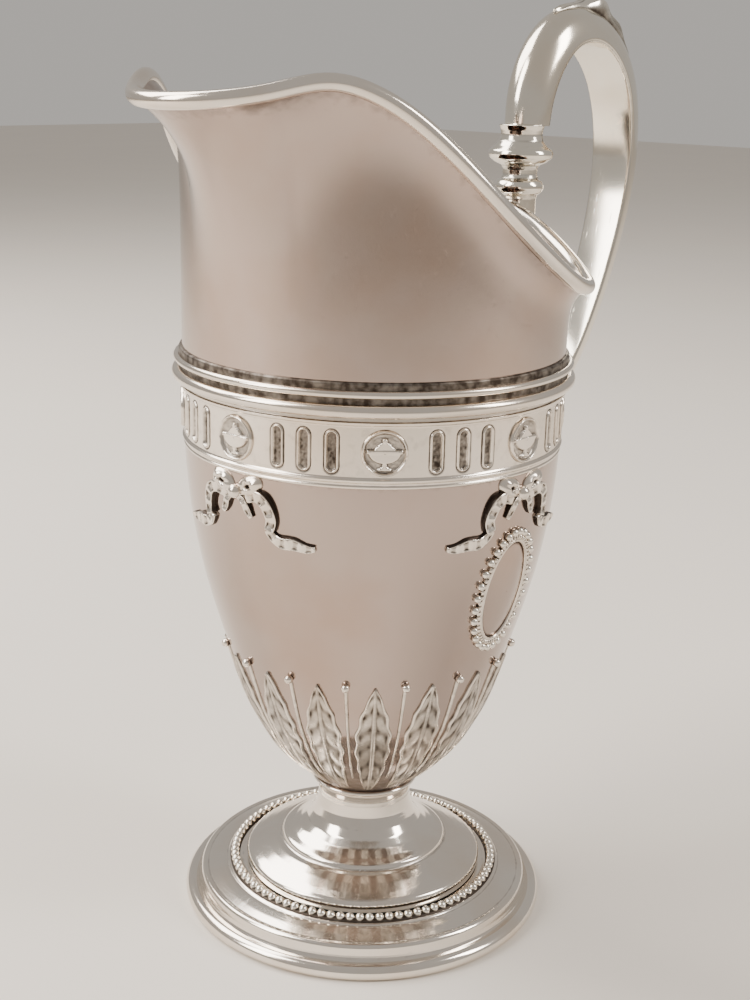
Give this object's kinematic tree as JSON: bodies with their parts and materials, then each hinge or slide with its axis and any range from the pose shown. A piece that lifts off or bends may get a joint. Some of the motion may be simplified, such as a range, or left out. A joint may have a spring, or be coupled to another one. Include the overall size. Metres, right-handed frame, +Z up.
{
  "type": "water pitcher",
  "caption": "Footed pouring jug with a raised spout, a high loop handle, a beaded foot, a leaf calyx, a frieze and ribbon-hung oval plaques.",
  "frame": {"origin": "centre of the foot's resting face", "axes": "+Z up, -X towards the spout, +X towards the handle, the oval plaques on -Y and +Y"},
  "size_m": [0.1908, 0.1146, 0.2502],
  "materials": {
    "bead_silver": "polished, tarnished between the beads",
    "body_silver": "polished with fine scratches",
    "foot_silver": "polished with fine scratches",
    "handle_silver": "polished with fine scratches",
    "moulding_silver": "polished with tarnish in the grooves",
    "ornament_silver": "polished high points, dark tarnish in the recesses"
  },
  "bodies": {
    "root": {"acanthus_leaves": "ornament_silver", "ball_tipped_pins": "ornament_silver", "cup_body": "body_silver", "foot_bead_strip": "bead_silver", "foot_beads": "bead_silver", "foot_dome_and_stem": "foot_silver", "foot_flange": "foot_silver", "foot_rim_wire": "foot_silver", "frieze_band": "moulding_silver", "frieze_lower_fillet": "moulding_silver", "frieze_upper_fillet": "moulding_silver", "girdle_reed_lower": "moulding_silver", "girdle_reed_upper": "moulding_silver", "girdle_strap": "moulding_silver", "handle_ferrule": "handle_silver", "handle_grip": "handle_silver", "handle_inner_strip": "handle_silver", "handle_lower_pad": "handle_silver", "handle_thumb_leaf": "handle_silver", "handle_upper_lug": "handle_silver", "helmet_body": "body_silver", "oval_beads_left": "bead_silver", "oval_beads_right": "bead_silver", "oval_frame_left": "ornament_silver", "oval_frame_right": "ornament_silver", "oval_plaque_left": "ornament_silver", "oval_plaque_right": "ornament_silver", "ribbon_bow_handle": "ornament_silver", "ribbon_bow_left": "ornament_silver", "ribbon_bow_right": "ornament_silver", "ribbon_bow_spout": "ornament_silver", "rim_wire": "moulding_silver", "stem_collar": "foot_silver", "urn_roundels": "ornament_silver"}
  },
  "joints": []
}
